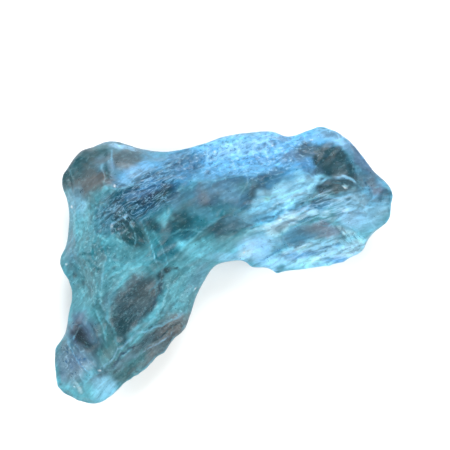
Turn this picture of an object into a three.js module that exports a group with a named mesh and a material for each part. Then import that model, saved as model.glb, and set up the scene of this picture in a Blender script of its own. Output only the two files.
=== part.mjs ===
// A moldavite: one L-shaped splinter of natural glass, lying flat on its worn underside.
// It is a slab that swells from a thin rim, chipped all over by shallow shell-shaped scars.
// Millimetres, +Z up. The origin is under the middle of the stone, on the surface it rests on.
import * as THREE from "three";
import { ImprovedNoise } from "three/addons/math/ImprovedNoise.js";

// Driving dimensions
const RIM_HEIGHT = 4.3; // where the upper and lower faces meet, above the ground
const RIM_THICKNESS = 1.7; // the edge is worn, never a knife edge
const RIM_WANDER = 1.8; // how far the rim wanders up and down, over waves of about RIM_WAVE
const RIM_WAVE = 8;
const RIM_WEAR = 1.2; // the rim is worn round over about this width
const RIM_ALLOWANCE = 0.14; // what that wear takes in from the drawn outline
const CROWN_RISE = 6.3; // how far the upper face swells above the rim
const KEEL_DROP = 5.2; // how far the lower face swells below it, past the ground that it is worn flat to
const SWELL_REACH = 7; // the distance in from the rim at which a face is fully swollen
const SWELL_ROUNDNESS = 1.8; // 1 would be a wedge, 2 and more a bulge
const RIDGE_WEAR = 0.45; // the ridges between scars are worn round over about this width
const RIPPLE_HEIGHT = 0.32; // gentle unevenness all over, in waves of about RIPPLE_LENGTH
const RIPPLE_LENGTH = 4.5;
const MESH_STEP = 0.74; // about the length of one mesh edge

// The outline seen from above, going round from the left edge by the top, in millimetres.
const OUTLINE = [
  // outer edge of the short arm, going up
  [-19.0, -10.9], [-18.6, -9.2], [-17.5, -7.6], [-17.0, -5.6], [-16.9, -2.4], [-17.6, -0.8],
  [-18.2, 0.6], [-17.3, 2.4], [-17.0, 4.2], [-17.15, 7.0],
  // the blunt corner
  [-17.8, 9.6], [-17.2, 10.9], [-15.7, 13.0], [-14.3, 13.4], [-12.9, 14.0], [-11.2, 13.8],
  // upper edge of the long arm
  [-9.2, 13.2], [-6.2, 12.8], [-4.2, 13.1], [-2.1, 13.7], [0.2, 14.5], [2.9, 14.85], [5.5, 15.05],
  [7.2, 14.5], [9.4, 15.0], [10.8, 15.5], [12.6, 14.9], [14.6, 13.5], [17.1, 10.5],
  // the end of the long arm
  [18.5, 9.1], [19.0, 8.0], [18.75, 6.8], [18.9, 5.6], [18.3, 4.8], [17.0, 4.1], [16.1, 3.1],
  [15.5, 1.6], [14.3, 1.0], [13.0, 0.1], [11.5, -0.15],
  // its lower edge, with the chipped notch
  [9.2, -0.5], [7.0, -0.5], [6.2, -0.75], [4.9, 0.0], [3.6, -0.05], [3.0, 0.35], [2.6, 1.0],
  [1.0, 0.75], [-0.8, 0.1],
  // the inner bend and the inner edge of the short arm
  [-1.8, -1.3], [-2.7, -3.0], [-3.4, -5.0], [-4.3, -7.1], [-5.4, -8.2], [-6.1, -9.4], [-7.3, -10.2],
  [-8.2, -11.4], [-10.6, -13.0], [-12.1, -14.3], [-13.6, -15.3],
  // the lower tip
  [-14.6, -15.5], [-16.6, -14.75], [-18.6, -13.5],
];

// A scar is a shell-shaped chip: a shallow bowl that took glass away. Its deepest point is at, it looks
// along a compass heading (0 is +X, 90 is +Y) and leans over from straight up. Its radii are those of the
// bowl, lengthwise and across, and turn swings its length about the way it looks.
const UPPER_SCARS = [
  // the blunt corner: a smooth outer face, the upright ridge, the dish beside it and a chip at the edge
  { at: [-15.4, 10.0, 7.2], heading: 172, lean: 34, radii: [16, 8], turn: 84 },
  { at: [-9.0, 11.0, 7.4], heading: 84, lean: 26, radii: [7, 6], turn: 90 },
  { at: [-13.4, 12.8, 6.0], heading: 110, lean: 50, radii: [7, 5], turn: 90 },
  // the broad outer face of the short arm, and the steeper fall to its outer edge
  { at: [-13.2, 2.2, 8.3], heading: 196, lean: 14, radii: [22, 14], turn: 80 },
  { at: [-16.2, 4.6, 5.9], heading: 184, lean: 40, radii: [8, 7], turn: 90 },
  { at: [-15.9, -3.6, 5.2], heading: 174, lean: 42, radii: [7, 7], turn: 90 },
  // ledges torn along the rough crest
  { at: [-10.9, 7.2, 8.7], heading: 300, lean: 30, radii: [14, 2.2], turn: 90 },
  { at: [-8.2, 8.2, 9.1], heading: 298, lean: 24, radii: [14, 2.2], turn: 92 },
  { at: [-5.2, 9.6, 8.7], heading: 292, lean: 28, radii: [12, 2.4], turn: 96 },
  // the chips below the rough crest
  { at: [-9.6, 4.4, 8.3], heading: 262, lean: 16, radii: [6, 5], turn: 10 },
  { at: [-4.6, 5.4, 8.1], heading: 300, lean: 20, radii: [9, 6], turn: 140 },
  // the spoon-shaped chip half way down the short arm, the channel beside it and the inner face
  { at: [-9.8, -4.2, 6.8], heading: 210, lean: 8, radii: [12, 4.6], turn: 24 },
  { at: [-6.2, -3.8, 6.7], heading: 300, lean: 12, radii: [24, 3.4], turn: 112 },
  { at: [-7.2, -8.0, 5.5], heading: 316, lean: 38, radii: [16, 7], turn: 92 },
  { at: [-2.6, -0.2, 5.9], heading: 306, lean: 36, radii: [9, 7], turn: 92 },
  // the lower tip: a groove, the rounded lobe's faces and the last facets
  { at: [-14.2, -7.4, 6.1], heading: 200, lean: 16, radii: [12, 3.4], turn: 104 },
  { at: [-16.9, -11.4, 5.4], heading: 190, lean: 36, radii: [6, 6], turn: 90 },
  { at: [-12.2, -12.2, 5.2], heading: 300, lean: 36, radii: [7, 6], turn: 90 },
  { at: [-16.2, -13.8, 4.9], heading: 244, lean: 44, radii: [6, 5], turn: 90 },
  // the upper slope of the long arm, broken into shallow steps
  { at: [-3.4, 11.6, 6.9], heading: 100, lean: 32, radii: [9, 6], turn: 92 },
  { at: [0.9, 12.6, 6.9], heading: 96, lean: 34, radii: [7, 6], turn: 60 },
  { at: [5.0, 12.4, 7.3], heading: 84, lean: 30, radii: [8, 6], turn: 110 },
  { at: [8.8, 13.2, 6.4], heading: 80, lean: 38, radii: [6, 5], turn: 90 },
  // the long dark slope under the crest, and the lit channel that runs up through it
  { at: [0.6, 7.0, 8.2], heading: 268, lean: 16, radii: [14, 7], turn: 96 },
  { at: [6.0, 7.2, 7.6], heading: 292, lean: 12, radii: [26, 3.6], turn: 90 },
  { at: [0.6, 3.2, 6.5], heading: 284, lean: 26, radii: [10, 4.4], turn: 96 },
  // the far end: a deep round dish, a small oval beside it, and the end faces
  { at: [12.2, 11.2, 6.8], heading: 50, lean: 20, radii: [5.5, 4.5], turn: 40 },
  { at: [12.8, 8.2, 6.9], heading: 290, lean: 14, radii: [6, 3.2], turn: 92 },
  { at: [15.6, 10.2, 5.9], heading: 42, lean: 38, radii: [8, 6], turn: 90 },
  { at: [16.9, 6.4, 5.6], heading: 352, lean: 36, radii: [7, 5], turn: 90 },
  // the lower side of the long arm, thinning to its edge
  { at: [8.8, 3.8, 6.5], heading: 266, lean: 16, radii: [8, 4.0], turn: 92 },
  { at: [14.0, 4.4, 6.0], heading: 308, lean: 28, radii: [8, 5], turn: 90 },
  { at: [10.6, 1.4, 5.1], heading: 272, lean: 38, radii: [12, 4], turn: 92 },
  { at: [4.4, 1.8, 5.3], heading: 258, lean: 36, radii: [7, 4], turn: 92 },
];
const LOWER_SCARS = [
  { at: [-14.6, 9.0, 1.9], heading: 165, lean: 148, radii: [12, 8], turn: 84 },
  { at: [-8.8, 11.2, 1.6], heading: 90, lean: 150, radii: [9, 7], turn: 90 },
  { at: [-11.6, 3.4, 0.9], heading: 190, lean: 170, radii: [9, 7], turn: 80 },
  { at: [-15.0, -2.4, 1.9], heading: 182, lean: 146, radii: [9, 7], turn: 90 },
  { at: [-8.4, -2.8, 0.8], heading: 330, lean: 168, radii: [8, 5], turn: 60 },
  { at: [-11.6, -6.6, 1.0], heading: 200, lean: 168, radii: [8, 5], turn: 75 },
  { at: [-6.6, -6.8, 1.9], heading: 326, lean: 144, radii: [12, 7], turn: 90 },
  { at: [-15.2, -12.0, 2.0], heading: 226, lean: 148, radii: [8, 6], turn: 90 },
  { at: [-4.4, 6.4, 0.7], heading: 40, lean: 174, radii: [9, 6], turn: 30 },
  { at: [1.4, 11.6, 1.6], heading: 96, lean: 150, radii: [10, 7], turn: 90 },
  { at: [7.4, 11.8, 1.7], heading: 84, lean: 150, radii: [8, 7], turn: 90 },
  { at: [12.8, 12.2, 2.0], heading: 60, lean: 148, radii: [8, 6], turn: 84 },
  { at: [3.0, 6.0, 1.0], heading: 270, lean: 172, radii: [8, 5], turn: 90 },
  { at: [-0.6, 2.8, 1.5], heading: 292, lean: 146, radii: [9, 6], turn: 95 },
  { at: [6.0, 2.4, 1.6], heading: 262, lean: 150, radii: [8, 6], turn: 90 },
  { at: [11.6, 2.8, 1.8], heading: 280, lean: 148, radii: [8, 6], turn: 90 },
  { at: [10.4, 7.6, 0.8], heading: 80, lean: 172, radii: [7, 5], turn: 20 },
  { at: [15.8, 7.0, 2.0], heading: 8, lean: 146, radii: [8, 6], turn: 90 },
];

// ---- the stone as a field: negative inside the glass, positive outside

const noise = new ImprovedNoise();

// The outline as a smooth closed curve, cut into short straight runs.
const OUTLINE_RUNS = 260;
const outline = new THREE.CatmullRomCurve3(
  OUTLINE.map(([x, y]) => new THREE.Vector3(x, y, 0)),
  true,
  "centripetal",
).getPoints(OUTLINE_RUNS);

// How far a point of the plan is inside the outline; negative outside it.
function inset(x, y) {
  let nearest = Infinity;
  let inside = false;
  for (let i = 0; i < outline.length - 1; i++) {
    const start = outline[i];
    const end = outline[i + 1];
    const runX = end.x - start.x;
    const runY = end.y - start.y;
    const along = ((x - start.x) * runX + (y - start.y) * runY) / (runX * runX + runY * runY);
    const foot = THREE.MathUtils.clamp(along, 0, 1);
    nearest = Math.min(nearest, Math.hypot(x - start.x - foot * runX, y - start.y - foot * runY));
    const spansY = start.y > y !== end.y > y;
    if (spansY && x < start.x + ((y - start.y) / runY) * runX) inside = !inside;
  }
  return inside ? nearest : -nearest;
}

// A scar's bowl: its deepest point, the way it looks, the ways it runs lengthwise and across, its radii.
function bowlOf({ at, heading, lean, radii, turn }) {
  const { degToRad } = THREE.MathUtils;
  const tilt = new THREE.Euler(0, degToRad(lean), degToRad(heading), "ZYX");
  const swing = degToRad(turn);
  const look = new THREE.Vector3(0, 0, 1).applyEuler(tilt);
  const length = new THREE.Vector3(Math.cos(swing), Math.sin(swing), 0).applyEuler(tilt);
  const width = new THREE.Vector3().crossVectors(look, length);
  return { deepest: new THREE.Vector3(...at), look, length, width, radii };
}

const bowls = [...UPPER_SCARS, ...LOWER_SCARS].map(bowlOf);

// How far a point is into the open side of a bowl; negative where the glass is left.
function intoBowl({ deepest, look, length, width, radii: [longRadius, crossRadius] }, point) {
  const offset = point.clone().sub(deepest);
  const along = offset.dot(length);
  const aside = offset.dot(width);
  const wall = (along * along) / (2 * longRadius) + (aside * aside) / (2 * crossRadius);
  const steepness = Math.hypot(1, along / longRadius, aside / crossRadius);
  return (offset.dot(look) - wall) / steepness;
}

// The larger of two field values, with the ridge where they meet worn round.
function wornMax(a, b, wear) {
  const closeness = Math.max(wear - Math.abs(a - b), 0);
  return Math.max(a, b) + (closeness * closeness) / (4 * wear);
}

function field(point) {
  const { x, y, z } = point;
  const depthIn = inset(x, y) + RIM_ALLOWANCE;
  const rim = RIM_HEIGHT + RIM_WANDER * noise.noise(x / RIM_WAVE, y / RIM_WAVE, 0);
  const reached = THREE.MathUtils.clamp(depthIn / SWELL_REACH, 0, 1);
  const swell = 1 - Math.pow(1 - reached, SWELL_ROUNDNESS);
  const crown = rim + RIM_THICKNESS / 2 + CROWN_RISE * swell;
  const keel = rim - RIM_THICKNESS / 2 - KEEL_DROP * swell;
  const slab = wornMax(-depthIn, Math.max(z - crown, keel - z), RIM_WEAR);
  const chipped = bowls.reduce((value, bowl) => wornMax(value, intoBowl(bowl, point), RIDGE_WEAR), slab);
  const ripple = RIPPLE_HEIGHT * noise.noise(x / RIPPLE_LENGTH, y / RIPPLE_LENGTH, z / RIPPLE_LENGTH);
  return Math.max(chipped + ripple, -z);
}

// ---- the surface: a net with one knot in each grid cell that the surface passes through

const AXES = [[1, 0, 0], [0, 1, 0], [0, 0, 1]];
const HALVINGS = 8; // of a grid edge, to find where the surface crosses it
const EVENING_PASSES = 7; // each pulls the net even and lays it back on the surface
const LANDING_STEPS = 2;
const SLOPE_STEP = 0.02;

function average(points) {
  const sum = new THREE.Vector3();
  points.forEach((point) => sum.add(point));
  return sum.divideScalar(points.length);
}

// Where the surface passes between a point inside the glass and one outside it.
function crossing(inner, outer) {
  const start = inner.clone();
  const end = outer.clone();
  const middle = new THREE.Vector3();
  for (let i = 0; i < HALVINGS; i++) {
    middle.lerpVectors(start, end, 0.5);
    const keptEnd = field(middle) < 0 ? start : end;
    keptEnd.copy(middle);
  }
  return middle;
}

// Moves a point straight onto the surface that passes near it.
function land(point) {
  for (let i = 0; i < LANDING_STEPS; i++) {
    const height = field(point);
    const ahead = AXES.map((axis) => field(new THREE.Vector3(...axis).multiplyScalar(SLOPE_STEP).add(point)));
    const slope = new THREE.Vector3(...ahead).subScalar(height).divideScalar(SLOPE_STEP);
    const stride = THREE.MathUtils.clamp(-height / slope.lengthSq(), -MESH_STEP / 2, MESH_STEP / 2);
    point.addScaledVector(slope, stride);
  }
  return point;
}

function evenOut(knots, quads) {
  const neighbours = knots.map(() => new Set());
  quads.forEach((quad) => quad.forEach((knot, n) => neighbours[knot].add(quad[(n + 1) % 4])));
  let net = knots;
  for (let pass = 0; pass < EVENING_PASSES; pass++) {
    net = net.map((knot, n) => {
      const middle = average([...neighbours[n]].map((other) => net[other]));
      return land(middle.lerp(knot, 0.5));
    });
  }
  return net;
}

// The grid over the stone: its corners' places and numbers, and which of them are in the glass.
function glassGrid() {
  const box = new THREE.Box3().setFromPoints(outline);
  box.max.z = RIM_HEIGHT + RIM_WANDER + CROWN_RISE;
  box.expandByScalar(2 * MESH_STEP);
  const counts = box.getSize(new THREE.Vector3()).divideScalar(MESH_STEP).ceil().toArray();
  const numberOf = ([i, j, k]) => (k * counts[1] + j) * counts[0] + i;
  const placeOf = (corner) => new THREE.Vector3(...corner).multiplyScalar(MESH_STEP).add(box.min);
  const corners = [];
  for (let k = 1; k < counts[2] - 1; k++)
    for (let j = 1; j < counts[1] - 1; j++) for (let i = 1; i < counts[0] - 1; i++) corners.push([i, j, k]);
  const isGlass = new Uint8Array(counts[0] * counts[1] * counts[2]);
  corners.forEach((corner) => {
    isGlass[numberOf(corner)] = field(placeOf(corner)) < 0 ? 1 : 0;
  });
  return { corners, numberOf, placeOf, isGlass };
}

const stepBy = (corner, axis, sign = 1) => corner.map((value, n) => value + sign * axis[n]);

// Where glass meets glass only across a square's diagonal, the square is filled, so the surface never
// touches itself along an edge.
function fillDiagonals({ corners, numberOf, isGlass }) {
  let filledOne = true;
  while (filledOne) {
    filledOne = false;
    for (const corner of corners)
      for (const n of AXES.keys()) {
        const right = stepBy(corner, AXES[n]);
        const up = stepBy(corner, AXES[(n + 1) % 3]);
        const square = [corner, right, stepBy(up, AXES[n]), up].map(numberOf);
        const [a, b, c, d] = square.map((number) => isGlass[number]);
        if (a !== c || b !== d || a === b) continue;
        square.forEach((number) => {
          isGlass[number] = 1;
        });
        filledOne = true;
      }
  }
}

function stoneGeometry() {
  const grid = glassGrid();
  fillDiagonals(grid);
  const { corners, numberOf, placeOf, isGlass } = grid;

  const hitsOf = new Map(); // each crossed cell's number to its crossings
  const rings = []; // the four cells round each crossing, in order as seen from outside
  for (const corner of corners)
    for (const n of AXES.keys()) {
      const next = stepBy(corner, AXES[n]);
      const here = isGlass[numberOf(corner)];
      if (here === isGlass[numberOf(next)]) continue;
      const ends = [placeOf(corner), placeOf(next)];
      const hit = here ? crossing(...ends) : crossing(...ends.reverse());
      const left = stepBy(corner, AXES[(n + 1) % 3], -1);
      const below = stepBy(corner, AXES[(n + 2) % 3], -1);
      const ring = [corner, left, stepBy(left, AXES[(n + 2) % 3], -1), below].map(numberOf);
      ring.forEach((cell) => hitsOf.set(cell, [...(hitsOf.get(cell) ?? []), hit]));
      rings.push(here ? ring : ring.reverse());
    }

  const knotOf = new Map([...hitsOf.keys()].map((cell, n) => [cell, n]));
  const quads = rings.map((ring) => ring.map((cell) => knotOf.get(cell)));
  const net = evenOut([...hitsOf.values()].map(average), quads);

  // Each quad is cut along the diagonal that lies nearer the surface.
  const gap = (a, b) => Math.abs(field(average([net[a], net[b]])));
  const triangles = quads.flatMap(([a, b, c, d]) =>
    gap(a, c) <= gap(b, d) ? [a, b, c, a, c, d] : [b, c, d, b, d, a],
  );
  return new THREE.BufferGeometry().setFromPoints(net).setIndex(triangles);
}

// ---- the stone itself

function moldaviteStone() {
  const geometry = stoneGeometry();
  geometry.computeBoundingBox();
  const { min, max } = geometry.boundingBox;
  geometry.translate(-(min.x + max.x) / 2, -(min.y + max.y) / 2, -min.z);
  geometry.computeVertexNormals();
  const glass = new THREE.MeshStandardMaterial({
    name: "moldavite_glass",
    color: 0x6a9db4,
    roughness: 0.12,
    metalness: 0,
  });
  const stone = new THREE.Mesh(geometry, glass);
  stone.name = "moldavite_stone";
  return stone;
}

const part = new THREE.Group();
part.add(moldaviteStone());

export default part;
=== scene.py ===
import math
import random

import bmesh
import bpy
import numpy as np
from mathutils import Euler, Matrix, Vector, noise


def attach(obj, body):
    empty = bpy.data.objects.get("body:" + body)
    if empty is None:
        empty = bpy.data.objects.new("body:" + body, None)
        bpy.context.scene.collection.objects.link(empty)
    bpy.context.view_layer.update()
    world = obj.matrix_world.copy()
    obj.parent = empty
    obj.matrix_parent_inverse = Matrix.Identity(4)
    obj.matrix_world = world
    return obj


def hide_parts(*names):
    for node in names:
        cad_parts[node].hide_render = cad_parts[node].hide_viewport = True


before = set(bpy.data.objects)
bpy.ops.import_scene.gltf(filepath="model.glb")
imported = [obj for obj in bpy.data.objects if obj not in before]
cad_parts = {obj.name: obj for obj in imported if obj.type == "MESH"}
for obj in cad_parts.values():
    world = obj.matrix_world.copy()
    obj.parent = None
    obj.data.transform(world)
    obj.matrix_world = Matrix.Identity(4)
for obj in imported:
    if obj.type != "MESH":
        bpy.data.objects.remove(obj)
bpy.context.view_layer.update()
mm = 0.001


def srgbToLinear(hexColour):
    channels = [int(hexColour[i:i + 2], 16) / 255 for i in (1, 3, 5)]
    return [c / 12.92 if c <= 0.04045 else ((c + 0.055) / 1.055) ** 2.4 for c in channels]


def addNode(tree, kind, settings=None, links=None):
    # links: socket name or number to an output socket or a plain value
    node = tree.nodes.new(kind)
    for name, value in (settings or {}).items():
        setattr(node, name, value)
    for name, value in (links or {}).items():
        if isinstance(value, bpy.types.NodeSocket):
            tree.links.new(value, node.inputs[name])
        else:
            node.inputs[name].default_value = value
    return node


# Lengths on the stone are millimetres, places are as seen from above, and angles are degrees from +X.
# An oval is told by its middle, its length and width, the way its length runs, and the share of it
# that fades out.
stone = {
    "weldGap": 0.005,             # corners nearer than this become one
    "joinAngle": 50,              # two triangles that bend less than this become one quad
    "renderLevels": 2,
    "chipSeed": 14,
    "seedStep": 7.3,              # how far apart two seeds read the noise
    "seeds": {"thread": 1, "ripple": 2, "grain": 3, "streak": 8, "cloud": 9, "breaks": 10,
              "washX": 20, "washY": 30},
    "flowCentre": (28.3, -47.0),  # the melt's flow lines are arcs round this far point
    "flowRadius": 57.0,
    "chipSideways": 0.35,         # share of a chip's bite that may move a point in plan
    "chipFacing": (0.1, 0.5),     # upward tilts between which chips grow to their full bite
    "chipStart": (0.4, 0.5),      # a chip starts only where its ovals and the bite are over these
    "chipScale": (0.6, 1.2),      # least and most size of one chip, as shares of its kind's radii
    "chipReach": 1.5,             # the most one chip may cut, as a share of its depth
    "chipSide": 0.5,              # how nearly the skin must face a chip's own way to be cut by it
    "chipFade": 0.3,              # share of the depth over which a chip's tone comes in
    "raiseSideways": 0.6,         # as chipSideways and chipFacing, for threads, ripples and grain
    "raiseFacing": (-0.6, 0.3),
    "rippleHeight": 0.10,
    "rippleSize": (5.0, 0.9, 3.0),  # along the flow, across it, and up
    "grainHeight": 0.03,
    "grainSize": 0.45,
    "wear": 0.3,                  # how far a point moves towards its neighbours as the edges wear
    "keepRim": (0.3, 1.2),        # heights between which chips, threads and ripples grow to their full
    "edgeGain": 5.0,              # how strongly a bend counts as a ridge or a groove
    "ovalSpill": 0.4,             # share of an oval's soft band that lies outside it
    "threadTips": 0.2,            # share of a thread's length over which each end fades
    "threadCore": 0.3,            # share of its width that is not faded
    # Each kind of chip is a small bowl. radii are the bowl's own, along the flow and across it, depth
    # is the least and most it bites, tip the most it leans, stray the most it lies off the flow, and
    # tone the most it looks lighter or darker than the glass round it.
    "chips": {
        "conchoidal chips": {
            "count": 260, "radii": (6.0, 3.6), "depth": (0.15, 0.45), "tip": 11, "stray": 10,
            "tone": 0.16, "ovals": [((0, 0), (60, 60), 0, 0.5)]},
        "chatter marks": {
            "count": 1100, "radii": (2.6, 0.3), "depth": (0.07, 0.20), "tip": 18, "stray": 26,
            "tone": 0.29, "ovals": [
                ((-9.4, 7.8), (11.0, 5.0), 34, 0.5), ((-7.0, 10.2), (4.0, 2.4), 30, 0.5),
                ((10.0, 6.6), (9.0, 3.0), 14, 0.5), ((11.0, 1.6), (10.0, 2.6), 8, 0.5),
                ((-8.6, -9.0), (9.0, 3.6), 42, 0.5), ((4.6, 6.2), (8.0, 2.4), 22, 0.5),
                ((14.6, 7.4), (4.0, 3.4), 20, 0.5)]},
        "etch pits": {
            "count": 460, "radii": (0.5, 0.4), "depth": (0.05, 0.12), "tip": 20, "stray": 90,
            "tone": 0.30, "ovals": [
                ((2.0, 12.6), (19.0, 5.4), 8, 0.5), ((15.8, 12.8), (6.0, 1.8), -48, 0.5),
                ((-14.2, 2.0), (6.0, 13.0), 0, 0.5)]},
    },
    "tints": {
        "teal": "#55a2b0",
        "paleTeal": "#72d2e4",
        "deepTeal": "#17717f",
        "seaGreen": "#024e5e",
        "bottleGreen": "#084850",
        "oliveTeal": "#326a70",
        "sky": "#66b8ea",
        "paleSky": "#a2dcff",
        "mist": "#7cb4ce",
        "haze": "#5896ae",
        "ice": "#9ae0fc",
        "frost": "#ccf4ff",
        "lilac": "#7cace0",
        "midBlue": "#3486bd",
        "slate": "#3c7894",
        "mauve": "#4e6a84",
        "navy": "#0c5674",
        "ink": "#043454",
        "steel": "#4c90ae",
        "smoke": "#30505a",
        "deepSmoke": "#124049",
        "taupe": "#4c5f64",
        "rosyGrey": "#7c9cb4",
        "lobeGrey": "#688698",
        "violet": "#1c2830",
        "umber": "#6c6a68",
        # the colour of the painted highlights
        "paintedGlint": "#f2fbff",
    },
    "ground": "teal",
    # tint, middle, length and width, angle, soft share, share; a later wash lies over the ones before
    "washes": [
        # the blunt corner and the dish beside it
        ("taupe", (-15.1, 10.6), (6.6, 6.4), 60, 0.3, 1.0),
        ("bottleGreen", (-16.9, 10.9), (5.0, 2.4), 60, 0.6, 1.0),
        ("bottleGreen", (-15.6, 11.4), (4.0, 2.4), 65, 0.7, 0.8),
        ("umber", (-14.3, 8.9), (3.6, 2.0), 10, 0.7, 0.55),
        ("taupe", (-13.1, 11.4), (2.4, 2.4), 0, 0.8, 0.5),
        ("oliveTeal", (-13.8, 12.2), (3.0, 2.0), 80, 0.8, 0.7),
        ("smoke", (-13.0, 11.2), (2.0, 2.6), 80, 0.8, 0.7),
        ("umber", (-12.2, 9.6), (3.4, 1.7), -10, 0.7, 0.9),
        ("umber", (-11.4, 11.0), (4.2, 1.8), -20, 0.7, 0.8),
        ("slate", (-12.6, 13.6), (5.0, 1.0), -8, 0.6, 0.6),
        ("steel", (-9.2, 11.2), (9.0, 4.6), -5, 0.4, 1.0),
        ("taupe", (-10.7, 12.0), (5.4, 3.0), -20, 0.6, 0.9),
        ("sky", (-8.8, 10.3), (7.4, 2.2), 18, 0.6, 1.0),
        ("umber", (-11.2, 10.9), (4.0, 2.0), -20, 0.8, 0.5),
        ("paleSky", (-9.3, 9.8), (5.2, 1.3), 18, 0.8, 0.6),
        ("umber", (-12.4, 9.4), (2.4, 1.2), -10, 0.8, 0.5),
        # the crest
        ("navy", (-8.6, 7.8), (12.4, 5.6), 34, 0.5, 1.0),
        ("ink", (-7.4, 8.4), (5.4, 3.2), 34, 0.7, 1.0),
        ("slate", (-12.6, 5.6), (5.0, 2.6), 42, 0.8, 0.4),
        ("bottleGreen", (-10.8, 6.2), (4.4, 1.6), 40, 0.7, 0.6),
        ("midBlue", (-8.8, 8.5), (4.4, 1.8), 30, 0.7, 0.75),
        ("bottleGreen", (-6.7, 7.7), (2.8, 1.7), 60, 0.8, 0.9),
        # the upper slope of the long arm; its sky and paleSky washes are painted reflection, the pale
        # blue of the sky mirrored in the faces that tilt up
        ("sky", (4.2, 12.2), (22.0, 6.4), 7, 0.35, 1.0),
        ("paleSky", (1.6, 13.2), (10.0, 2.4), 14, 0.8, 0.7),
        ("midBlue", (-4.5, 11.0), (5.8, 3.6), 30, 0.4, 0.8),
        ("slate", (-4.6, 11.0), (5.4, 3.2), 30, 0.6, 1.0),
        ("smoke", (-4.4, 11.6), (2.8, 1.4), 30, 0.7, 0.6),
        ("midBlue", (-4.4, 10.9), (4.0, 2.4), 20, 0.7, 0.5),
        ("navy", (-3.9, 11.3), (3.6, 2.2), 10, 0.6, 0.35),
        ("midBlue", (3.6, 12.0), (4.4, 1.2), 4, 0.8, 0.6),
        ("midBlue", (-0.6, 12.8), (2.8, 1.2), 0, 0.7, 0.6),
        ("paleSky", (12.8, 14.2), (8.0, 2.2), -28, 0.7, 0.7),
        ("sky", (15.4, 12.2), (6.0, 1.8), -48, 0.6, 1.0),
        # the dark slope under it
        ("slate", (1.0, 8.2), (14.0, 4.8), 12, 0.4, 1.0),
        ("bottleGreen", (1.8, 5.0), (4.0, 1.6), 15, 0.8, 0.35),
        ("umber", (-1.8, 7.9), (4.4, 2.4), 0, 0.8, 0.15),
        ("mauve", (-0.8, 7.4), (8.4, 3.0), 8, 0.7, 0.25),
        ("mauve", (-5.2, 7.2), (3.0, 2.4), 60, 0.8, 0.6),
        ("smoke", (3.4, 9.2), (4.2, 1.5), 22, 0.7, 0.5),
        ("smoke", (-0.8, 6.8), (5.0, 1.4), 8, 0.7, 0.2),
        ("smoke", (3.9, 8.0), (3.2, 1.8), 30, 0.8, 1.0),
        ("mist", (-1.6, 8.5), (2.0, 2.6), 0, 0.8, 0.3),
        ("slate", (-2.8, 10.3), (2.4, 1.4), 20, 0.7, 0.6),
        ("sky", (3.0, 10.5), (4.4, 1.2), 10, 0.7, 0.6),
        ("mist", (2.2, 8.7), (4.4, 1.6), 20, 0.8, 0.4),
        ("navy", (5.0, 10.0), (6.4, 1.4), 24, 0.7, 0.6),
        ("oliveTeal", (2.6, 8.9), (3.8, 1.7), 15, 0.8, 0.7),
        ("umber", (-2.2, 7.5), (1.8, 3.2), 5, 0.9, 0.35),
        ("mist", (0.2, 7.7), (2.2, 1.5), 0, 0.8, 0.5),
        ("oliveTeal", (-4.2, 6.9), (2.8, 1.6), 30, 0.8, 0.5),
        ("oliveTeal", (-0.6, 6.6), (3.6, 1.0), 5, 0.8, 0.4),
        # green deeps in the elbow
        ("deepTeal", (-2.6, 4.8), (12.6, 4.2), 5, 0.6, 1.0),
        ("deepTeal", (-6.4, 1.6), (5.0, 6.0), 0, 0.6, 1.0),
        ("seaGreen", (-6.0, 2.6), (2.6, 3.4), 0, 0.8, 0.55),
        ("seaGreen", (-5.1, 4.8), (5.2, 3.0), -8, 0.5, 1.0),
        ("bottleGreen", (-5.0, 4.8), (4.0, 2.1), -8, 0.6, 0.8),
        ("seaGreen", (0.1, 4.5), (5.2, 2.4), 8, 0.5, 1.0),
        ("seaGreen", (-7.9, 4.5), (2.6, 1.5), -20, 0.7, 1.0),
        ("bottleGreen", (-8.0, 4.7), (1.6, 0.9), 0, 0.7, 0.8),
        ("bottleGreen", (-10.4, 3.9), (5.2, 3.6), -42, 0.4, 1.0),
        ("bottleGreen", (-9.2, 2.5), (2.8, 1.2), -62, 0.6, 0.3),
        ("oliveTeal", (-10.4, 1.0), (3.6, 2.4), 0, 0.8, 0.5),
        ("paleTeal", (-3.2, 2.1), (4.6, 2.5), -5, 0.5, 0.8),
        ("seaGreen", (-6.3, 1.3), (2.4, 2.8), 0, 0.8, 0.35),
        ("paleTeal", (-6.3, 5.2), (1.8, 1.8), 0, 0.8, 0.7),
        ("haze", (-2.2, 5.9), (3.2, 1.4), 0, 0.7, 0.6),
        # the lit channel
        ("ice", (7.0, 7.9), (10.4, 3.2), 27, 0.5, 1.0),
        ("haze", (3.6, 5.8), (7.4, 2.0), 22, 0.7, 0.8),
        ("oliveTeal", (0.6, 2.8), (5.4, 1.4), 12, 0.8, 0.6),
        ("ice", (10.6, 8.7), (2.8, 1.4), 20, 0.8, 0.7),
        ("midBlue", (9.0, 11.0), (3.0, 1.8), 0, 0.6, 0.6),
        # the far end
        ("mist", (15.6, 7.0), (7.4, 7.4), 20, 0.5, 0.8),
        ("steel", (17.0, 8.6), (4.0, 5.0), 20, 0.6, 1.0),
        ("deepSmoke", (12.0, 11.4), (5.6, 3.9), -36, 0.3, 1.0),
        ("smoke", (9.0, 12.6), (3.2, 2.2), 20, 0.6, 0.9),
        ("mauve", (6.4, 11.9), (2.2, 1.6), 0, 0.8, 0.5),
        ("mauve", (7.3, 12.1), (2.6, 1.6), 20, 0.7, 0.7),
        ("smoke", (12.6, 8.9), (4.8, 1.9), 12, 0.3, 1.0),
        ("deepSmoke", (12.2, 8.6), (3.2, 1.0), 12, 0.6, 0.7),
        ("mauve", (17.3, 8.5), (2.0, 1.6), 0, 0.7, 1.0),
        ("slate", (15.4, 10.4), (4.6, 2.4), -50, 0.7, 0.8),
        ("umber", (16.5, 9.2), (2.4, 1.6), -50, 0.7, 0.6),
        ("smoke", (14.8, 9.3), (2.4, 2.6), -50, 0.7, 0.8),
        ("deepSmoke", (14.0, 10.3), (2.8, 1.4), -40, 0.6, 0.9),
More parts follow.
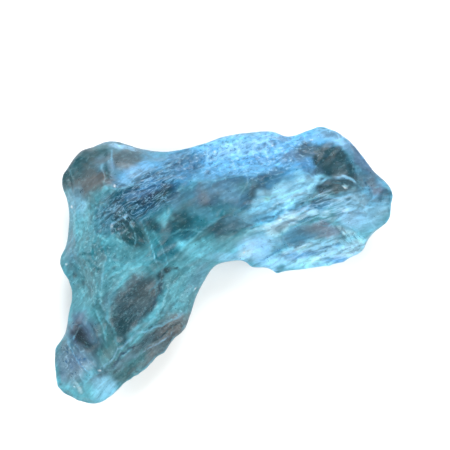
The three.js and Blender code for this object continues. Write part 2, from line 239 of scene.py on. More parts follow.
        ("mauve", (15.1, 12.1), (6.8, 2.0), -50, 0.7, 0.9),
        ("umber", (14.8, 7.4), (3.4, 1.8), 0, 0.8, 0.35),
        ("mauve", (11.8, 14.7), (3.0, 0.8), -10, 0.7, 0.6),
        ("mauve", (10.1, 10.3), (2.6, 1.6), 0, 0.7, 0.8),
        ("smoke", (10.4, 10.5), (1.8, 1.6), 0, 0.6, 0.8),
        ("steel", (11.0, 6.8), (4.4, 1.4), 10, 0.7, 0.8),
        ("smoke", (10.4, 6.7), (5.0, 1.5), 12, 0.7, 0.5),
        ("paleSky", (14.4, 5.4), (3.6, 2.6), 0, 0.8, 0.5),
        # the lower side of the long arm
        ("sky", (8.0, 5.9), (10.4, 2.0), 14, 0.7, 0.5),
        ("haze", (8.6, 3.4), (5.2, 2.8), 15, 0.4, 1.0),
        ("slate", (8.2, 3.1), (5.4, 2.4), 15, 0.5, 0.6),
        ("rosyGrey", (11.4, 3.9), (3.8, 2.0), -20, 0.5, 1.0),
        ("umber", (10.8, 3.6), (4.6, 2.2), -10, 0.6, 0.4),
        # painted light: this pale ice band stands in for light shining through the thin lower edge
        ("ice", (11.2, 1.3), (12.0, 3.2), 8, 0.5, 1.0),
        ("paleSky", (3.9, 2.4), (4.8, 3.2), 10, 0.7, 0.8),
        ("frost", (2.6, 1.6), (2.4, 1.4), 30, 0.8, 0.7),
        ("paleSky", (5.0, 0.6), (4.4, 2.2), -10, 0.7, 0.6),
        ("deepTeal", (6.2, -0.4), (2.0, 1.0), -10, 0.7, 0.5),
        ("frost", (6.6, 4.9), (4.4, 1.7), 32, 0.7, 1.0),
        ("paleSky", (7.0, 5.2), (3.4, 1.3), 32, 0.8, 0.8),
        ("frost", (13.4, 3.8), (3.0, 1.0), -30, 0.7, 0.6),
        ("slate", (3.8, 5.2), (2.4, 1.2), 20, 0.7, 0.5),
        ("paleSky", (0.9, 1.0), (4.4, 1.2), 5, 0.7, 0.4),
        ("mauve", (8.0, 1.1), (4.8, 1.0), 5, 0.7, 0.5),
        ("midBlue", (9.4, 1.2), (3.4, 1.0), 5, 0.8, 0.5),
        ("lilac", (3.3, 1.9), (3.6, 1.6), 0, 0.7, 0.25),
        ("midBlue", (8.4, 1.2), (4.4, 1.0), 5, 0.7, 0.4),
        ("midBlue", (13.1, 0.8), (3.6, 1.2), 5, 0.7, 0.9),
        ("frost", (14.0, 2.0), (3.2, 1.4), 20, 0.7, 0.5),
        # the broad face
        ("mist", (-16.3, 6.8), (2.8, 3.0), 0, 0.8, 0.7),
        ("mist", (-16.6, 8.2), (1.8, 1.8), 0, 0.8, 0.6),
        ("mauve", (-16.9, 2.4), (1.6, 8.0), 4, 0.8, 0.5),
        ("deepTeal", (-13.8, 1.6), (3.8, 2.8), 20, 0.8, 0.85),
        ("deepTeal", (-14.9, 0.4), (3.6, 4.6), 0, 0.8, 0.2),
        ("paleTeal", (-10.6, -1.0), (5.0, 1.8), 25, 0.7, 0.5),
        ("paleTeal", (-4.6, -0.1), (3.8, 2.6), 10, 0.8, 0.5),
        ("mist", (-3.0, -1.5), (2.4, 4.2), -30, 0.8, 0.6),
        # the short arm
        ("oliveTeal", (-4.4, -2.8), (5.4, 8.0), -30, 0.6, 0.4),
        ("oliveTeal", (-14.5, -2.2), (5.4, 5.0), 0, 0.7, 0.3),
        ("smoke", (-10.0, -4.4), (8.8, 4.7), 57, 0.3, 1.0),
        ("deepSmoke", (-7.0, -1.4), (1.3, 0.8), 50, 0.5, 1.0),
        ("deepSmoke", (-6.3, -0.6), (1.2, 0.7), 40, 0.5, 1.0),
        ("deepSmoke", (-5.4, -0.3), (1.0, 0.6), 20, 0.5, 0.9),
        ("deepSmoke", (-10.9, -7.1), (4.0, 2.6), 60, 0.6, 1.0),
        ("taupe", (-7.1, -8.6), (8.8, 3.8), 42, 0.3, 1.0),
        ("umber", (-5.4, -6.6), (4.2, 3.0), 42, 0.6, 0.7),
        ("smoke", (-8.8, -9.1), (2.8, 1.6), 42, 0.7, 0.7),
        ("rosyGrey", (-9.9, -11.0), (3.8, 1.2), 42, 0.7, 0.5),
        ("taupe", (-8.6, -2.9), (3.8, 2.4), 57, 0.7, 0.6),
        ("umber", (-9.4, -10.6), (5.0, 2.6), 42, 0.6, 0.5),
        ("oliveTeal", (-8.8, -8.6), (2.0, 1.4), 40, 0.8, 0.8),
        ("oliveTeal", (-10.8, -11.2), (6.0, 3.0), 40, 0.5, 1.0),
        ("rosyGrey", (-11.2, -10.6), (4.6, 1.4), 42, 0.8, 0.5),
        ("smoke", (-9.0, -8.6), (3.4, 1.5), 42, 0.8, 0.8),
        ("smoke", (-6.9, -4.7), (2.0, 1.0), 57, 0.8, 0.3),
        ("smoke", (-8.5, -8.4), (3.6, 1.8), 42, 0.6, 0.9),
        ("oliveTeal", (-12.6, -4.6), (2.0, 4.4), 8, 0.8, 0.6),
        ("mauve", (-12.6, -3.9), (1.6, 4.4), -20, 0.8, 0.35),
        ("oliveTeal", (-13.9, -5.0), (2.8, 2.4), 0, 0.7, 0.5),
        ("mauve", (-16.2, -6.0), (1.8, 2.8), -20, 0.7, 0.8),
        ("oliveTeal", (-13.2, -8.6), (6.4, 4.0), -60, 0.7, 1.0),
        ("mauve", (-15.6, -7.6), (4.8, 3.8), -40, 0.7, 1.0),
        ("violet", (-15.5, -8.2), (4.6, 2.0), -58, 0.7, 1.0),
        ("violet", (-17.6, -8.9), (1.8, 1.8), 0, 0.7, 0.7),
        ("deepSmoke", (-14.9, -8.8), (3.0, 1.4), -55, 0.8, 0.5),
        ("smoke", (-14.0, -10.9), (3.0, 2.0), -50, 0.7, 0.7),
        ("lobeGrey", (-16.7, -10.9), (5.0, 5.2), 0, 0.5, 0.9),
        ("mauve", (-16.2, -10.4), (2.6, 2.2), 0, 0.8, 0.7),
        ("paleTeal", (-15.9, -14.0), (4.6, 2.4), -10, 0.6, 0.15),
        ("mauve", (-18.2, -12.4), (1.2, 2.6), 10, 0.8, 0.6),
        ("mauve", (-13.6, -12.4), (2.8, 1.6), 40, 0.7, 0.6),
        ("ice", (-13.2, -13.5), (3.4, 2.4), 50, 0.5, 0.75),
    ],
    # painted highlights: small white dots where fresh nicks would catch the light; size, angle and soft
    # share of each, then their middles
    "paintedGlintOval": ((0.30, 0.16), 30, 0.5),
    "paintedGlints": [
        (-16.9, 6.6), (-17.6, 0.2), (-12.3, 4.4), (-3.2, -2.5), (-13.7, -11.6), (2.4, 1.4), (13.3, 6.1),
        (13.3, 8.9), (-16.6, -13.4), (-12.0, 8.9), (-8.9, 9.4), (-1.0, 12.6), (5.4, 13.4), (9.8, 13.9),
    ],
    # tint, one end, the other end, width, rise, bow, share; a thread bows out to its left in the
    # middle, and rise is how far it stands up from the glass round it, or dips if less than nothing
    "threads": [
        # the blunt corner, the dish and the crest
        ("bottleGreen", (-13.1, 13.0), (-12.6, 9.2), 0.8, -0.08, 0, 0.85),
        ("lilac", (-12.4, 13.2), (-12.0, 10.4), 0.4, 0.12, 0, 0.3),
        ("paleSky", (-13.1, 13.3), (-9.4, 12.7), 0.7, 0.1, 0.2, 0.85),
        ("navy", (-12.4, 9.2), (-10.2, 8.6), 0.7, -0.1, 0, 0.85),
        ("paleSky", (-11.6, 8.2), (-4.6, 12.2), 0.4, 0.2, -0.3, 0.4),
        ("paleSky", (-12.6, 4.1), (-10.4, 6.0), 0.35, 0.1, 0, 0.85),
        # the chip of bottle green and the elbow
        ("oliveTeal", (-12.0, 4.3), (-10.4, 1.8), 0.3, 0.15, 0, 0.3),
        ("oliveTeal", (-10.6, 5.3), (-9.7, 2.6), 0.3, 0.15, 0.2, 0.3),
        ("oliveTeal", (-9.4, 3.4), (-10.2, 1.2), 0.3, 0.1, 0, 0.3),
        ("paleTeal", (-9.2, 5.5), (-7.2, -0.4), 0.26, 0.12, 0.2, 0.4),
        ("paleTeal", (-8.5, 4.8), (-6.0, -1.0), 0.22, 0.08, 0.5, 0.4),
        ("paleTeal", (-6.6, 3.4), (-1.8, 3.8), 0.26, 0.05, 0.3, 0.3),
        # the lit channel and the far end
        ("frost", (4.3, 5.9), (10.0, 8.3), 0.3, 0.1, 0.2, 0.85),
        ("navy", (4.0, 5.0), (8.4, 6.4), 0.4, -0.1, 0, 0.85),
        ("ice", (8.0, 8.4), (12.4, 9.9), 0.7, 0.12, 0.1, 0.5),
        ("slate", (7.0, 6.9), (10.6, 7.9), 0.35, -0.1, 0.4, 0.7),
        ("slate", (8.4, 6.6), (11.6, 7.4), 0.3, -0.1, 0.3, 0.7),
        ("paleSky", (12.0, 9.8), (15.0, 8.8), 0.4, 0.15, 0.5, 0.85),
        ("frost", (13.0, 9.1), (13.7, 8.8), 0.4, 0.1, 0, 0.85),
        ("paleSky", (10.0, 7.9), (15.2, 8.3), 0.3, 0.12, -0.5, 0.7),
        ("paleSky", (12.4, 7.4), (17.6, 6.4), 0.3, 0.1, 0, 0.6),
        ("slate", (15.0, 10.0), (16.6, 7.2), 0.4, -0.1, 0.3, 0.85),
        ("frost", (12.6, 6.4), (14.0, 6.0), 0.5, 0.1, 0, 0.85),
        # the lower side of the long arm
        ("frost", (1.6, 3.4), (12.6, 6.3), 0.9, 0.3, 0.3, 0.8),
        ("frost", (5.4, 4.2), (8.4, 5.7), 0.9, 0.05, 0, 1.0),
        ("navy", (12.2, 4.6), (13.5, 3.0), 0.3, -0.1, 0, 0.8),
        ("navy", (12.9, 4.5), (14.2, 2.9), 0.3, -0.1, 0, 0.8),
        ("navy", (13.7, 4.3), (14.9, 2.8), 0.3, -0.1, 0, 0.8),
        ("slate", (6.6, 2.2), (11.0, 2.9), 0.4, -0.1, -0.3, 0.85),
        ("frost", (6.4, 1.2), (10.2, 2.5), 0.4, 0.12, 0.1, 0.85),
        ("midBlue", (9.0, 0.8), (13.8, 2.5), 0.3, -0.1, 0.3, 0.85),
        ("frost", (9.4, 0.2), (14.6, 1.5), 0.5, 0.1, 0.2, 0.85),
        ("midBlue", (11.0, 0.2), (15.2, 2.2), 0.3, -0.08, 0.2, 0.85),
        ("midBlue", (3.6, 0.6), (6.8, 2.0), 0.4, -0.1, -0.2, 0.85),
        # the short arm
        ("paleTeal", (-9.6, -0.4), (-12.4, -7.4), 0.8, 0.12, -1.5, 0.25),
        ("paleTeal", (-11.2, -8.8), (-4.2, -0.8), 1.7, 0.15, -0.4, 0.5),
        ("ink", (-6.6, -1.2), (-8.2, -4.6), 0.6, -0.15, 0.2, 0.7),
        ("rosyGrey", (-13.6, -12.0), (-9.2, -7.2), 0.4, 0.12, 0.3, 0.6),
        ("mist", (-10.5, -7.7), (-3.7, -4.7), 0.5, 0.15, -0.45, 0.6),
        ("smoke", (-7.8, -5.7), (-4.3, -3.8), 0.5, -0.1, 0.1, 0.6),
        ("ink", (-12.6, -11.3), (-9.4, -8.4), 0.4, -0.15, 0.1, 0.85),
        ("rosyGrey", (-9.4, -10.0), (-5.0, -7.0), 0.3, 0.12, -0.1, 0.85),
        ("deepSmoke", (-8.2, -8.8), (-4.4, -5.8), 0.35, -0.1, 0.1, 0.85),
        ("paleTeal", (-13.0, -14.6), (-7.2, -11.0), 0.6, 0.0, -0.3, 0.7),
        ("paleTeal", (-14.8, -4.2), (-13.0, -9.0), 0.3, 0.08, 0.5, 0.35),
        ("smoke", (-15.4, -5.6), (-13.6, -9.6), 0.35, -0.1, 0.4, 0.7),
        ("paleTeal", (-13.4, -5.4), (-11.8, -8.8), 0.3, 0.08, 0.4, 0.35),
        ("lilac", (-17.2, -8.0), (-14.3, -12.2), 0.24, 0.12, -0.6, 0.35),
        ("lilac", (-16.6, -7.4), (-13.8, -11.4), 0.2, 0.1, -0.6, 0.25),
        ("frost", (-17.0, -12.6), (-15.8, -14.4), 0.5, 0.1, 0.3, 0.85),
    ],
    # how the edges of the washes and the threads wander: lengths, and how far each carries
    "washWander": [(2.6, 0.5), (1.2, 0.45), (0.5, 0.25)],
    "threadWander": [(1.4, 0.3), (0.6, 0.12)],
    "threadBreaks": (0.7, 0.65, 0.6),        # length of a break, mean share and how far it swings
    "toneStreaks": ((5.0, 0.6, 2.0), 0.26),  # lengths, and how far they lighten and darken
    "toneClouds": ((1.5, 1.5, 1.5), 0.20),
    "darkest": 0.1,                          # the least the tones may leave of a tint
    "palest": 0.96,                          # the most light a tint may give back
    "rim": ("mauve", 0.50, 0.55),            # painted shade on the steep walls round the outline: tint, share, and the upward tilt where it has faded out
    # where each fine pattern of the glass shows: its share elsewhere, then its ovals
    "patterns": {
        "hackled": (0.0, [
            ((-9.4, 7.6), (12.0, 5.4), 34, 0.5), ((-7.0, 10.2), (4.0, 2.4), 30, 0.5)]),
        "streaky": (0.02, [
            ((11.0, 6.3), (8.6, 2.8), 14, 0.5), ((11.6, 1.6), (11.0, 3.0), 8, 0.5),
            ((10.4, 7.4), (5.0, 2.0), 14, 0.5)]),
        "dotted": (0.05, [
            ((2.8, 12.6), (17.0, 6.2), 5, 0.5), ((-16.8, -10.5), (4.0, 3.6), -40, 0.5)]),
        "scratched": (0.0, [
            ((-10.2, -4.5), (8.2, 4.4), 57, 0.5), ((-7.4, -8.2), (7.0, 3.0), 42, 0.5)]),
        "mottled": (0.25, [
            ((-13.6, 1.6), (9.0, 14.0), 0, 0.5), ((-5.0, -3.0), (5.0, 9.0), -30, 0.5)]),
    },
    # facets whose fine lines run their own way: the oval, and the way of the lines
    "combed": [
        (((-10.5, 3.7), (5.4, 3.6), -42, 0.3), -52),
        (((-14.8, -9.4), (9.0, 5.6), -55, 0.5), -56),
        (((13.8, 3.4), (3.4, 2.6), -30, 0.5), -36),
    ],
    "combedFrom": 0.5,  # the lines turn where a facet's oval is over this
    # how the glass itself takes the light
    "glass": {
        "ior": 1.49,
        "transmission": 0.5,
        "specular": 0.1,  # the etched skin scatters most of what a polished one would mirror
        "roughness": (0.27, 0.45),
        "absorption": "#46d6f0",
        "density": 60.0,
        "etchHeight": 0.05,
        "etchStrength": 0.22,
        "etchShades": (0.3, 0.7),  # values of the etch cloud that give the least and most roughness
        "cloudMake": {"Scale": 1.0, "Detail": 2.5, "Roughness": 0.6, "Distortion": 0.6},
        # mm along the flow, across it, and up
        "clouds": {
            "streak": (3.0, 0.42, 1.0),
            "thread": (6.0, 0.9, 2.0),
            "net": (1.5, 0.42, 0.8),
            "speck": (0.42, 0.34, 0.4),
            "etch": (0.5, 0.5, 0.5),  # real etching is finer; this is as coarse as it needs to show
        },
        "lined": ("thread", "net"),  # clouds that are also read as lines
        "lineValue": 0.5,            # the value of a cloud that its lines run along
        # What lightens and darkens the glass without turning its hue: what it reads, from where to
        # where, and what it multiplies by there.
        "tones": [
            ("streak", 0.34, 0.66, 0.80, 1.20),
            ("speck", 0.30, 0.70, 0.90, 1.12),
        ],
        # Each layer lies over the last: what it reads, the value where it starts and the one where it
        # is full, how much it then hides, its tint, and the pattern it keeps to.
        "layers": [
            # painted light: the first two layers paint a pale highlight along the ridges and a dark
            # shade in the grooves
            ("edge", 0.15, 1.0, 0.34, "#80d4ee", None),
            ("edge", -0.1, -0.9, 0.50, "#0a3c50", None),
            ("speck", 0.53, 0.75, 0.55, "#92e0ea", "mottled"),
            ("speck", 0.47, 0.27, 0.60, "#22727e", "mottled"),
            ("speck", 0.53, 0.72, 0.55, "#bce6ff", "dotted"),
            ("speck", 0.46, 0.28, 0.75, "#145a90", "dotted"),
            ("streak", 0.50, 0.34, 0.42, "#164450", "streaky"),
            ("streak", 0.50, 0.66, 0.45, "#bce2fa", "streaky"),
            ("threadLine", 0.035, 0.0, 0.45, "#b0e4fa", "streaky"),
            ("netLine", 0.020, 0.0, 0.28, "#9cbcc6", "scratched"),
            ("net", 0.52, 0.36, 0.60, "#0c3646", "hackled"),
            ("netLine", 0.036, 0.0, 0.66, "#8cc8e8", "hackled"),
        ],
    },
}


def smoothStep(low, high, value):
    t = np.clip((value - low) / (high - low), 0.0, 1.0)
    return t * t * (3 - 2 * t)


def insideOval(x, y, middle, size, angle, soft):
    dx, dy = x - middle[0], y - middle[1]
    turn = math.radians(angle)
    along = (dx * math.cos(turn) + dy * math.sin(turn)) / (size[0] / 2)
    across = (dy * math.cos(turn) - dx * math.sin(turn)) / (size[1] / 2)
    return 1 - smoothStep(1 - soft, 1 + stone["ovalSpill"] * soft, np.hypot(along, across))


def insideAny(x, y, ovals):
    return np.max([insideOval(x, y, *oval) for oval in ovals], axis=0)


def onThread(x, y, start, end, width, bow):
    (x0, y0), (x1, y1) = start, end
    length = math.hypot(x1 - x0, y1 - y0)
    along = ((x - x0) * (x1 - x0) + (y - y0) * (y1 - y0)) / length ** 2
    across = ((y - y0) * (x1 - x0) - (x - x0) * (y1 - y0)) / length
    across = across - bow * 4 * along * (1 - along)  # the bow is full in the middle and 0 at the ends
    tip = stone["threadTips"]
    ends = smoothStep(0, tip, along) * (1 - smoothStep(1 - tip, 1, along))
    return ends * (1 - smoothStep(stone["threadCore"], 1, np.abs(across) / (width / 2)))


def flowPlaces(places):
    # the same points told as arc length round the flow's centre, distance from its arc, and height
    dx, dy = places[:, 0] - stone["flowCentre"][0], places[:, 1] - stone["flowCentre"][1]
    radius = stone["flowRadius"]
    return np.stack([np.arctan2(dx, dy) * radius, np.hypot(dx, dy) - radius, places[:, 2]], axis=1)


def noiseAt(places, size, seed, step=0):
    # Blender's own smooth noise, about -1 to 1; size is one length or one for each direction
    start = (stone["seeds"][seed] + step) * stone["seedStep"]
    return np.array([noise.noise(Vector(p)) for p in places / size + start])


def wanderAt(places, wanders, seed):
    return sum(noiseAt(places, size, seed, step) * reach for step, (size, reach) in enumerate(wanders))


def meshPlaces(mesh):
    flat = np.empty(len(mesh.vertices) * 3)
    mesh.vertices.foreach_get("co", flat)
    return flat.reshape(-1, 3) / mm


def meshNormals(mesh):
    flat = np.empty(len(mesh.vertices) * 3)
    mesh.vertex_normals.foreach_get("vector", flat)
    return flat.reshape(-1, 3)


def setPlaces(mesh, places):
    places[:, 2] = np.maximum(places[:, 2], 0.0)
    mesh.vertices.foreach_set("co", (places * mm).ravel())
    mesh.update()


def makeStone():
    shape = bmesh.new()
    shape.from_mesh(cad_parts["moldavite_stone"].data)
    bmesh.ops.remove_doubles(shape, verts=shape.verts, dist=stone["weldGap"] * mm)
    bend = math.radians(stone["joinAngle"])
    bmesh.ops.join_triangles(
        shape, faces=shape.faces, angle_face_threshold=bend, angle_shape_threshold=bend, cmp_seam=False,
        cmp_sharp=False, cmp_uvs=False, cmp_vcols=False, cmp_materials=False)
    mesh = bpy.data.meshes.new("moldaviteStone")
    shape.to_mesh(mesh)
    shape.free()
    piece = bpy.data.objects.new("moldaviteStone", mesh)
    bpy.context.scene.collection.objects.link(piece)
    finer = piece.modifiers.new("finer", "SUBSURF")
    finer.levels = finer.render_levels = stone["renderLevels"]
    bpy.context.view_layer.update()
    smooth = bpy.data.meshes.new_from_object(piece.evaluated_get(bpy.context.evaluated_depsgraph_get()))
    piece.modifiers.clear()
    piece.data = smooth
    smooth.name = "moldaviteStone"
    return piece


def chipStone(mesh):
    draw = random.Random(stone["chipSeed"])
    places, normals = meshPlaces(mesh), meshNormals(mesh)
    # the underside was worn flat by the ground, and the rim keeps its outline
    bite = smoothStep(*stone["chipFacing"], normals[:, 2]) * smoothStep(*stone["keepRim"], places[:, 2])
    flowX, flowY = stone["flowCentre"]
    ways = np.stack([places[:, 1] - flowY, flowX - places[:, 0]], axis=1)  # along the flow
    tones = np.zeros(len(places))
    for kind, chip in stone["chips"].items():
        print("stone:", kind)
        odds = insideAny(places[:, 0], places[:, 1], chip["ovals"])
        leastOdds, leastBite = stone["chipStart"]
        starts = np.flatnonzero((odds > leastOdds) & (bite > leastBite))
        cut, tone = np.zeros(len(places)), np.zeros(len(places))
        for _ in range(chip["count"]):
            start = starts[draw.randrange(len(starts))]
            size, depth = draw.uniform(*stone["chipScale"]), draw.uniform(*chip["depth"])
            look = Vector(normals[start])
            tips = [math.radians(draw.uniform(-chip["tip"], chip["tip"])) for _ in range(3)]
            look.rotate(Euler(tips))
            along = Vector((*ways[start], 0.0))
            along.rotate(Euler((0, 0, math.radians(draw.uniform(-chip["stray"], chip["stray"])))))
            along = (along - look * along.dot(look)).normalized()
            across = look.cross(along)
            offset = places - (places[start] - np.array(look) * depth)
            wall = (offset @ np.array(along)) ** 2 / (2 * chip["radii"][0] * size)
            wall += (offset @ np.array(across)) ** 2 / (2 * chip["radii"][1] * size)
            over = offset @ np.array(look) - wall
            sameSide = normals @ np.array(look) > stone["chipSide"]
            over = np.minimum(over, stone["chipReach"] * depth) * sameSide
            tone = np.where(over > cut, draw.uniform(-chip["tone"], chip["tone"]), tone)
            cut = np.maximum(cut, over)
        tones += tone * smoothStep(0.0, stone["chipFade"] * chip["depth"][0], cut)
        places -= normals * (stone["chipSideways"], stone["chipSideways"], 1.0) * (cut * bite)[:, None]
    setPlaces(mesh, places)
    mark = mesh.attributes.new("chipTone", "FLOAT", "POINT")
    mark.data.foreach_set("value", tones)


def raiseThreads(mesh):
    places, normals = meshPlaces(mesh), meshNormals(mesh)
    wander = wanderAt(places, stone["threadWander"], "thread")
    rise = np.zeros(len(places))
    for _, start, end, width, height, bow, _ in stone["threads"]:
        rise += height * onThread(places[:, 0] + wander, places[:, 1] - wander, start, end, width, bow)
    rise += noiseAt(flowPlaces(places), stone["rippleSize"], "ripple") * stone["rippleHeight"]
    rise += noiseAt(places, stone["grainSize"], "grain") * stone["grainHeight"]
    grown = smoothStep(*stone["keepRim"], places[:, 2])
    rise *= grown * smoothStep(*stone["raiseFacing"], normals[:, 2])
    sideways = stone["raiseSideways"]
    setPlaces(mesh, places + normals * (sideways, sideways, 1.0) * rise[:, None])


def wearEdges(mesh):
    shape = bmesh.new()
    shape.from_mesh(mesh)
    bmesh.ops.smooth_vert(
        shape, verts=shape.verts, factor=stone["wear"],
        use_axis_x=True, use_axis_y=True, use_axis_z=True)
    shape.to_mesh(mesh)
    shape.free()
    mesh.polygons.foreach_set("use_smooth", [True] * len(mesh.polygons))


def noteEdges(mesh):
    # the attribute is 1 on the sharpest ridges, 0 on flats and -1 in the tightest grooves
    shape = bmesh.new()
    shape.from_mesh(mesh)
    shape.normal_update()
    bend = []
    for v in shape.verts:
        around = [e.other_vert(v).co for e in v.link_edges]
        middle = sum(around, Vector()) / len(around)
        span = sum((p - v.co).length for p in around) / len(around)
        bend.append((v.co - middle).dot(v.normal) / span)
    softer = []
    for v in shape.verts:
        around = [bend[e.other_vert(v).index] for e in v.link_edges]
        softer.append((bend[v.index] + sum(around) / len(around)) / 2)
    shape.free()
    edge = mesh.attributes.new("edge", "FLOAT", "POINT")
    edge.data.foreach_set("value", np.clip(np.array(softer) * stone["edgeGain"], -1.0, 1.0))


def layOver(colour, tint, share):
    share = share[:, None]
    return colour * (1 - share) + np.array(srgbToLinear(stone["tints"][tint])) * share


def tintGlass(mesh):
    places = meshPlaces(mesh)
    x = places[:, 0] + wanderAt(places, stone["washWander"], "washX")
    y = places[:, 1] + wanderAt(places, stone["washWander"], "washY")
    colour = np.tile(srgbToLinear(stone["tints"][stone["ground"]]), (len(places), 1))
    for tint, middle, size, angle, soft, share in stone["washes"]:
        colour = layOver(colour, tint, share * insideOval(x, y, middle, size, angle, soft))
    wander = wanderAt(places, stone["threadWander"], "thread")
    x, y = places[:, 0] + wander, places[:, 1] - wander
    length, mean, swing = stone["threadBreaks"]
    breaks = mean + swing * noiseAt(places, length, "breaks")
    for tint, start, end, width, _, bow, share in stone["threads"]:
        share = np.clip(share * breaks, 0, 1)
        colour = layOver(colour, tint, share * onThread(x, y, start, end, width, bow))
    # painted highlights: the small white glint dots are laid over the tints
    for middle in stone["paintedGlints"]:
        colour = layOver(colour, "paintedGlint", insideOval(x, y, middle, *stone["paintedGlintOval"]))
    flow = flowPlaces(places)
    (streakSize, streakTone), (cloudSize, cloudTone) = stone["toneStreaks"], stone["toneClouds"]
    tones = np.empty(len(places))
    mesh.attributes["chipTone"].data.foreach_get("value", tones)
    tones += streakTone * noiseAt(flow, streakSize, "streak")
    tones += cloudTone * noiseAt(places, cloudSize, "cloud")
    colour *= np.maximum(1 + tones, stone["darkest"])[:, None]
    # painted shade: the steep walls round the outline are tinted a darker mauve
    rimShadeTint, rimShadeShare, fadedTilt = stone["rim"]
    wall = 1 - smoothStep(0.0, fadedTilt, np.abs(meshNormals(mesh)[:, 2]))
    colour = np.minimum(layOver(colour, rimShadeTint, rimShadeShare * wall), stone["palest"])
    paint = mesh.color_attributes.new("glassTint", "FLOAT_COLOR", "POINT")
    paint.data.foreach_set("color", np.concatenate([colour, np.ones((len(places), 1))], axis=1).ravel())
    for name, (elsewhere, ovals) in stone["patterns"].items():
        mark = mesh.attributes.new(name, "FLOAT", "POINT")
        mark.data.foreach_set("value", elsewhere + (1 - elsewhere) * insideAny(x, y, ovals))
    for oval, angle in stone["combed"]:
        turn = math.radians(angle)
        inside = insideOval(x, y, *oval) > stone["combedFrom"]
        here = places[inside]
        flow[inside, 0] = here[:, 0] * math.cos(turn) + here[:, 1] * math.sin(turn)
        flow[inside, 1] = here[:, 1] * math.cos(turn) - here[:, 0] * math.sin(turn)
    flowing = mesh.attributes.new("flow", "FLOAT_VECTOR", "POINT")
    flowing.data.foreach_set("vector", flow.ravel())


# Moldavite: natural silica glass, splashed molten and etched in the ground. It is clear, with wavy
# flow streaks and smoky veils, so the eye sees through the satin chipped faces into drawn-out colour.
def moldaviteGlass():
    glass = stone["glass"]
    material = bpy.data.materials.new("moldaviteGlass")
    material.use_nodes = True
    tree = material.node_tree
    tree.nodes.clear()
    marks = {}
    for name in ("glassTint", "flow", "edge", *stone["patterns"]):
        marks[name] = addNode(tree, "ShaderNodeAttribute", {"attribute_name": name})
    reads = {"edge": marks["edge"].outputs["Fac"]}
    for seed, (name, size) in enumerate(glass["clouds"].items()):
        place = addNode(tree, "ShaderNodeMapping", {}, {
            "Vector": marks["flow"].outputs["Vector"], "Location": [seed * stone["seedStep"]] * 3,
            "Scale": [1 / length for length in size]})
        cloud = addNode(tree, "ShaderNodeTexNoise", {}, {
            "Vector": place.outputs["Vector"], **glass["cloudMake"]})
        reads[name] = cloud.outputs["Fac"]
    for name in glass["lined"]:
        aside = addNode(tree, "ShaderNodeMath", {"operation": "SUBTRACT"}, {
            0: reads[name], 1: glass["lineValue"]})
        line = addNode(tree, "ShaderNodeMath", {"operation": "ABSOLUTE"}, {0: aside.outputs[0]})
        reads[name + "Line"] = line.outputs[0]  # 0 along a line, and more to both sides of it

    colour = marks["glassTint"].outputs["Color"]
    for read, low, high, darker, paler in glass["tones"]:
        tone = addNode(tree, "ShaderNodeMapRange", {}, {
            "Value": reads[read], "From Min": low, "From Max": high, "To Min": darker, "To Max": paler})
        toned = addNode(tree, "ShaderNodeVectorMath", {"operation": "SCALE"}, {
            0: colour, "Scale": tone.outputs["Result"]})
        colour = toned.outputs[0]
    for read, start, full, most, tint, pattern in glass["layers"]:
        share = addNode(tree, "ShaderNodeMapRange", {"interpolation_type": "SMOOTHSTEP"}, {
            "Value": reads[read], "From Min": start, "From Max": full, "To Min": 0.0, "To Max": most})
        kept = addNode(tree, "ShaderNodeMath", {"operation": "MULTIPLY"}, {
            0: share.outputs["Result"], 1: marks[pattern].outputs["Fac"] if pattern else 1.0})
        over = addNode(tree, "ShaderNodeMix", {"data_type": "RGBA"}, {
            0: kept.outputs[0], 6: colour, 7: (*srgbToLinear(tint), 1.0)})
        colour = over.outputs[2]

    rough = addNode(tree, "ShaderNodeMapRange", {}, {
        "Value": reads["etch"], "From Min": glass["etchShades"][0], "From Max": glass["etchShades"][1],
        "To Min": glass["roughness"][0], "To Max": glass["roughness"][1]})
    bump = addNode(tree, "ShaderNodeBump", {}, {
        "Height": reads["etch"], "Strength": glass["etchStrength"],
        "Distance": glass["etchHeight"] * mm})
    surface = addNode(tree, "ShaderNodeBsdfPrincipled", {}, {
        "Base Color": colour, "Roughness": rough.outputs["Result"], "Normal": bump.outputs["Normal"],
        "IOR": glass["ior"], "Transmission Weight": glass["transmission"],
        "Specular IOR Level": glass["specular"]})
    absorb = addNode(tree, "ShaderNodeVolumeAbsorption", {}, {
        "Color": (*srgbToLinear(glass["absorption"]), 1.0), "Density": glass["density"]})
    addNode(tree, "ShaderNodeOutputMaterial", {}, {
        "Surface": surface.outputs[0], "Volume": absorb.outputs[0]})
    return material


print("stone: mesh")
stonePiece = makeStone()
chipStone(stonePiece.data)
print("stone: threads and ripples")
raiseThreads(stonePiece.data)
wearEdges(stonePiece.data)
print("stone: tints")
noteEdges(stonePiece.data)
tintGlass(stonePiece.data)
stonePiece.data.materials.clear()
stonePiece.data.materials.append(moldaviteGlass())
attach(stonePiece, "root")
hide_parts("moldavite_stone")

# Lengths in the studio are metres.
studio = {
    "floorSize": 1.2,
    "floorColour": "#f2f2f0",
    "floorRoughness": 0.9,
    "airColour": "#ffffff",
    "airStrength": 0.42,
    "viewCentre": (0.17 * mm, 4.54 * mm, 4.3 * mm),
    "viewWidth": 0.05015,   # how wide the camera sees at the height of viewCentre
    "cameraHeight": 0.30,   # over viewCentre
    "sensorWidth": 36,      # mm, as Blender wants it
    "clipStart": 0.001,
    "lights": {
        "softboxBehind": {"at": (0.05, 0.45, 0.35), "size": 0.45, "power": 4.2, "colour": "#f0f7ff"},
        "softboxLeft": {"at": (-0.45, 0.05, 0.32), "size": 0.40, "power": 2.15, "colour": "#ffffff"},
        "softboxRight": {"at": (0.42, -0.10, 0.32), "size": 0.40, "power": 1.8, "colour": "#ffffff"},
        "softboxFront": {"at": (0.05, -0.42, 0.35), "size": 0.40, "power": 1.7, "colour": "#ffffff"},
    },
}


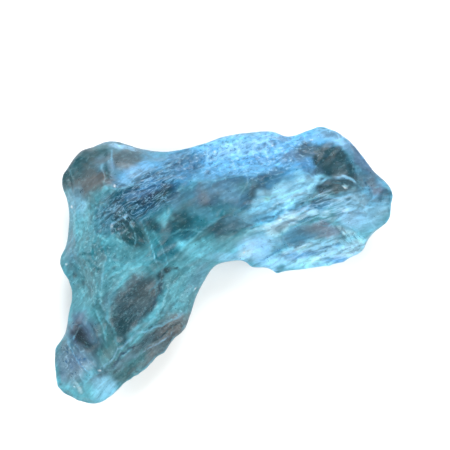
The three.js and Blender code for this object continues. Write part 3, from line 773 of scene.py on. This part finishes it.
def makeFloor():
    shape = bmesh.new()
    bmesh.ops.create_grid(shape, x_segments=1, y_segments=1, size=studio["floorSize"] / 2)
    mesh = bpy.data.meshes.new("floor")
    shape.to_mesh(mesh)
    shape.free()
    floor = bpy.data.objects.new("floor", mesh)
    bpy.context.scene.collection.objects.link(floor)
    # matte paint: no shine, only an even pale ground
    material = bpy.data.materials.new("matteFloorPaint")
    material.use_nodes = True
    tree = material.node_tree
    tree.nodes.clear()
    paint = addNode(tree, "ShaderNodeBsdfPrincipled", {}, {
        "Base Color": (*srgbToLinear(studio["floorColour"]), 1.0),
        "Roughness": studio["floorRoughness"]})
    addNode(tree, "ShaderNodeOutputMaterial", {}, {"Surface": paint.outputs[0]})
    mesh.materials.append(material)


def lightStudio():
    world = bpy.data.worlds.new("studioAir")
    world.use_nodes = True
    tree = world.node_tree
    tree.nodes.clear()
    air = addNode(tree, "ShaderNodeBackground", {}, {
        "Color": (*srgbToLinear(studio["airColour"]), 1.0), "Strength": studio["airStrength"]})
    addNode(tree, "ShaderNodeOutputWorld", {}, {"Surface": air.outputs[0]})
    bpy.context.scene.world = world
    for name, softbox in studio["lights"].items():
        lamp = bpy.data.lights.new(name, "AREA")
        lamp.shape = "DISK"
        lamp.size = softbox["size"]
        lamp.energy = softbox["power"]
        lamp.color = srgbToLinear(softbox["colour"])
        light = bpy.data.objects.new(name, lamp)
        light.location = softbox["at"]
        light.rotation_euler = (-Vector(softbox["at"])).to_track_quat("-Z", "Y").to_euler()
        bpy.context.scene.collection.objects.link(light)


def addCamera():
    lens = bpy.data.cameras.new("camera")
    lens.sensor_width = studio["sensorWidth"]
    lens.lens = studio["sensorWidth"] * studio["cameraHeight"] / studio["viewWidth"]
    lens.clip_start = studio["clipStart"]
    camera = bpy.data.objects.new("camera", lens)
    x, y, level = studio["viewCentre"]
    camera.location = (x, y, level + studio["cameraHeight"])
    bpy.context.scene.collection.objects.link(camera)
    bpy.context.scene.camera = camera


print("studio")
makeFloor()
lightStudio()
addCamera()
bpy.context.scene.view_settings.view_transform = "Standard"

bpy.context.view_layer.update()
print("stone has", len(stonePiece.data.polygons), "faces")
